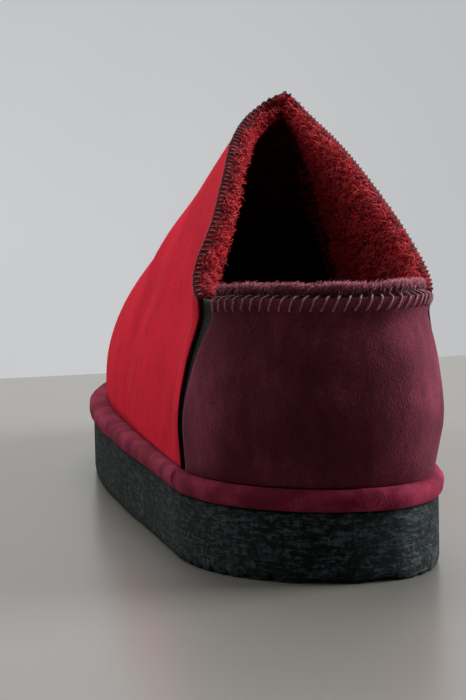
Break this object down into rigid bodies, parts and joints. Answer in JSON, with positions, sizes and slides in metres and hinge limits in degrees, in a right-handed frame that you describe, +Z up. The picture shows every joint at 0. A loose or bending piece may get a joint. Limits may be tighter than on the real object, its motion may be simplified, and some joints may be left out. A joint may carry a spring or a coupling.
{
  "type": "babouche slipper",
  "caption": "Left suede babouche slipper with a red vamp, burgundy heel counter, black elastic gores, wool lining and a ribbed black sole",
  "frame": {"origin": "Middle of the bounding box on the floor, under the sole", "axes": "+Y towards the toe, +X towards the medial side of the foot, +Z up"},
  "size_m": [0.0966, 0.2706, 0.1119],
  "materials": {
    "sole_rubber": "matt, sanded",
    "band_suede": "suede",
    "lining_wool": "sheepskin pile",
    "vamp_suede": "suede",
    "counter_suede": "suede",
    "gore_elastic": "ribbed elastic"
  },
  "bodies": {
    "root": {"outsole": "sole_rubber", "midsole": "band_suede", "insole": "lining_wool", "vamp": "vamp_suede", "heel_counter": "counter_suede", "gore_lateral": "gore_elastic", "gore_medial": "gore_elastic"}
  },
  "joints": []
}
